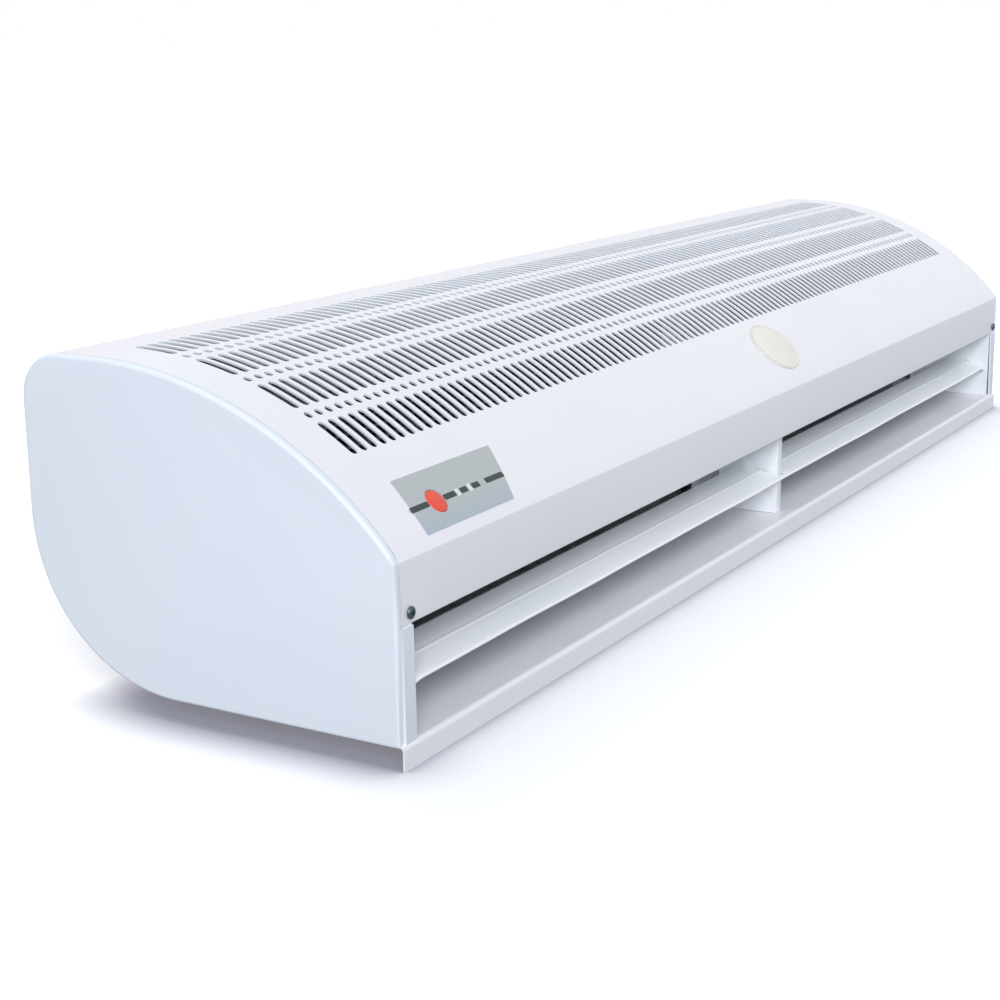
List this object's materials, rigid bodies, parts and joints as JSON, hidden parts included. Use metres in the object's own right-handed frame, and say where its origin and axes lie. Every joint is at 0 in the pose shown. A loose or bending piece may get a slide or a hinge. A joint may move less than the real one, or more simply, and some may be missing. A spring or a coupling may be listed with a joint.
{
  "type": "air curtain",
  "caption": "Long wall-mounted air curtain with a slotted curved cover, a double cross-flow fan on one motor shaft and a full-length outlet with a tilting vane.",
  "frame": {"origin": "under the middle of the unit, in the plane of the wall it hangs on, as the unit lies on its wall side in the picture", "axes": "+X along the length, +Z away from the wall, and the air outlet faces -Y; installed on a wall, -Y points down"},
  "size_m": [1.2, 0.2724, 0.2195],
  "materials": {
    "cover_coat": "white powder coat, satin",
    "panel_coat": "cool white powder coat, satin",
    "duct_coat": "white powder coat, satin",
    "vane_coat": "white powder coat, satin",
    "galvanised_sheet": "galvanised sheet",
    "wheel_dark": "dark coated blades, matt",
    "motor_housing": "cast, pale grey",
    "shaft_steel": "ground steel",
    "rubber_black": "matt rubber",
    "nylon_white": "natural nylon",
    "label_film": "silver-grey film",
    "button_red": "orange-red moulded plastic",
    "badge_cream": "cream domed badge",
    "board_green": "coated circuit board",
    "switch_black": "moulded switch body",
    "canister_white": "moulded canister",
    "brass_turned": "turned brass",
    "screw_zinc": "zinc plated"
  },
  "bodies": {
    "root": {"front_cover": "cover_coat", "band_screw_left": "screw_zinc", "band_screw_right": "screw_zinc", "skirt_screw_left": "screw_zinc", "skirt_screw_right": "screw_zinc", "end_panel_left": "panel_coat", "end_panel_right": "panel_coat", "back_shell": "cover_coat", "wall_bracket_left": "galvanised_sheet", "wall_bracket_right": "galvanised_sheet", "bracket_screw_1": "screw_zinc", "bracket_screw_2": "screw_zinc", "bracket_screw_3": "screw_zinc", "bracket_screw_4": "screw_zinc", "duct_ceiling": "duct_coat", "duct_side_left": "duct_coat", "duct_side_right": "duct_coat", "vane_bush_left": "nylon_white", "vane_bush_right": "nylon_white", "centre_rib": "duct_coat", "duct_baffle": "galvanised_sheet", "fan_bulkhead_left": "galvanised_sheet", "fan_bulkhead_right": "galvanised_sheet", "motor_plate_left": "galvanised_sheet", "motor_plate_right": "galvanised_sheet", "shaft_bearing_left": "rubber_black", "shaft_bearing_right": "rubber_black", "scroll_sheet_left": "galvanised_sheet", "scroll_sheet_right": "galvanised_sheet", "motor_body": "motor_housing", "motor_cradle": "galvanised_sheet", "motor_strap_1": "galvanised_sheet", "motor_strap_2": "galvanised_sheet", "strap_screw_1": "screw_zinc", "strap_screw_2": "screw_zinc", "strap_screw_3": "screw_zinc", "strap_screw_4": "screw_zinc", "control_label": "label_film", "control_board": "board_green", "power_switch": "switch_black", "board_standoff_1": "brass_turned", "board_standoff_2": "brass_turned", "badge_plate": "badge_cream", "terminal_block": "nylon_white", "run_capacitor": "canister_white", "capacitor_clip": "galvanised_sheet", "cable_grommet": "rubber_black", "earth_stud": "brass_turned", "earth_nut": "brass_turned"},
    "rotor": {"motor_shaft": "shaft_steel", "stub_shaft_left": "shaft_steel", "stub_shaft_right": "shaft_steel", "fan_wheel_left": "wheel_dark", "fan_wheel_right": "wheel_dark", "wheel_hub_left": "rubber_black", "wheel_hub_right": "rubber_black"},
    "vane": {"outlet_vane": "vane_coat", "vane_rod": "shaft_steel"},
    "button": {"power_button": "button_red"}
  },
  "joints": [
    {"name": "rotor_spin", "type": "hinge", "parent": "root", "child": "rotor", "pos_m": [0, 0.016, 0.122], "axis": [1, 0, 0], "continuous": true},
    {"name": "vane_tilt", "type": "hinge", "parent": "root", "child": "vane", "pos_m": [0, -0.109, 0.0468], "axis": [1, 0, 0], "range_deg": [-20, 20]},
    {"name": "button_press", "type": "slide", "parent": "root", "child": "button", "axis": [0, 0.6942, -0.7198], "range_m": [0, 0.001], "stiffness_N_per_m": 800}
  ]
}
